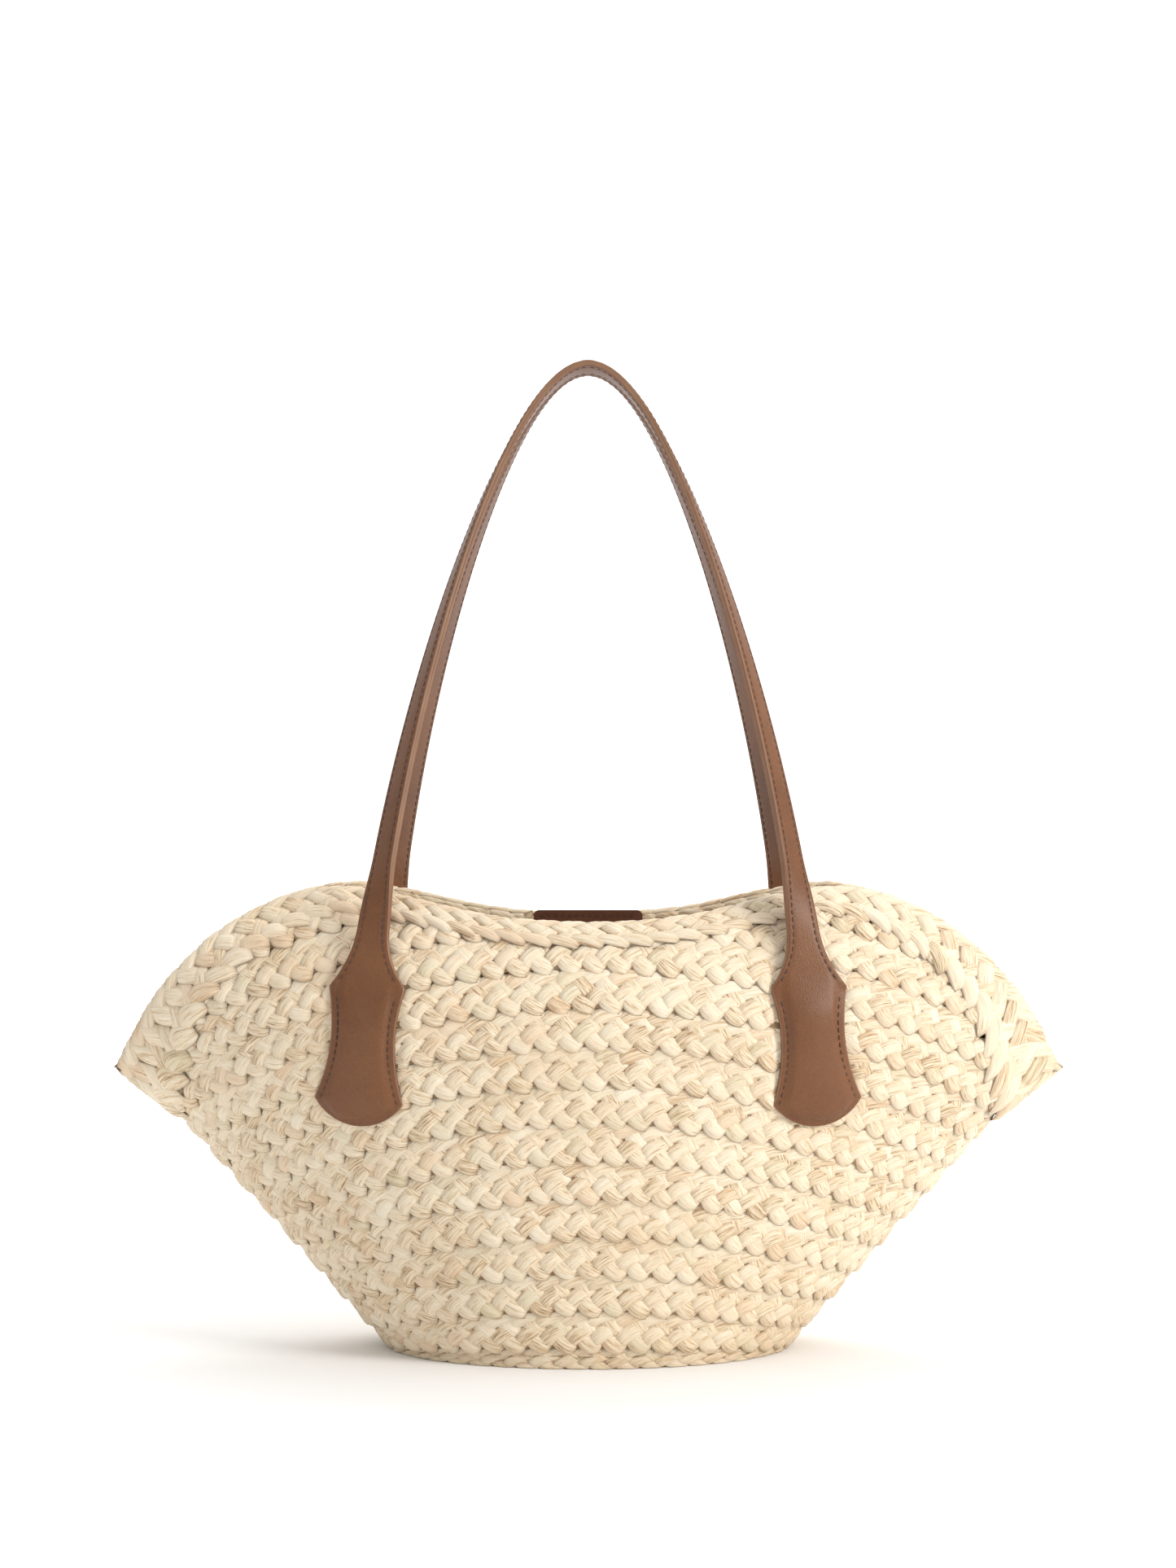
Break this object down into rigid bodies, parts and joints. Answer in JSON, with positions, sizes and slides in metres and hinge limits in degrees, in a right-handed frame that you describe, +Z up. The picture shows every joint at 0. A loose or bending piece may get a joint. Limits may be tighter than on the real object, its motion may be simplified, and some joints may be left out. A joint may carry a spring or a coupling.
{
  "type": "beach bag",
  "caption": "Wide oval-based basket tote of sewn flat braid with two long leather shoulder straps stitched to its front and back walls.",
  "frame": {"origin": "middle of the base, on the surface the bag stands on", "axes": "+Z up, +X across the bag to the right seen from the front, front face towards -Y"},
  "size_m": [0.4792, 0.1702, 0.4967],
  "materials": {
    "braid": "natural flat plait of dried leaf, matt with a soft sheen along each strand",
    "leather": "tan leather with fine pebble grain and painted edges",
    "strap_lining": "tan leather, a little smoother than the outer layer",
    "inner_leather": "plain tan leather",
    "dark_leather": "dark brown leather, unmarked",
    "thread": "dark brown waxed thread"
  },
  "bodies": {
    "basket": {"base_core": "braid", "base_turn_1": "braid", "base_turn_2": "braid", "inner_patch": "dark_leather", "patch_stitches": "thread", "rim_braid": "braid", "tab_backing_front_left": "inner_leather", "tab_backing_front_right": "inner_leather", "tab_backing_rear_left": "inner_leather", "tab_backing_rear_right": "inner_leather", "tab_front_left": "leather", "tab_front_right": "leather", "tab_rear_left": "leather", "tab_rear_right": "leather", "tab_stitches_front_left": "thread", "tab_stitches_front_right": "thread", "tab_stitches_rear_left": "thread", "tab_stitches_rear_right": "thread", "wall_course_01": "braid", "wall_course_02": "braid", "wall_course_03": "braid", "wall_course_04": "braid", "wall_course_05": "braid", "wall_course_06": "braid", "wall_course_07": "braid", "wall_course_08": "braid", "wall_course_09": "braid", "wall_course_10": "braid", "wall_course_11": "braid", "wall_course_12_front": "braid", "wall_course_12_rear": "braid"},
    "strap_front": {"strap_lining_front": "strap_lining", "strap_outer_front": "leather"},
    "strap_rear": {"strap_lining_rear": "strap_lining", "strap_outer_rear": "leather"}
  },
  "joints": [
    {"name": "strap_front_fold", "type": "hinge", "parent": "basket", "child": "strap_front", "pos_m": [0, -0.0754, 0.1856], "axis": [1, 0, 0], "range_deg": [0, 136]},
    {"name": "strap_rear_fold", "type": "hinge", "parent": "basket", "child": "strap_rear", "pos_m": [0, 0.0754, 0.1856], "axis": [-1, 0, 0], "range_deg": [0, 136]}
  ]
}
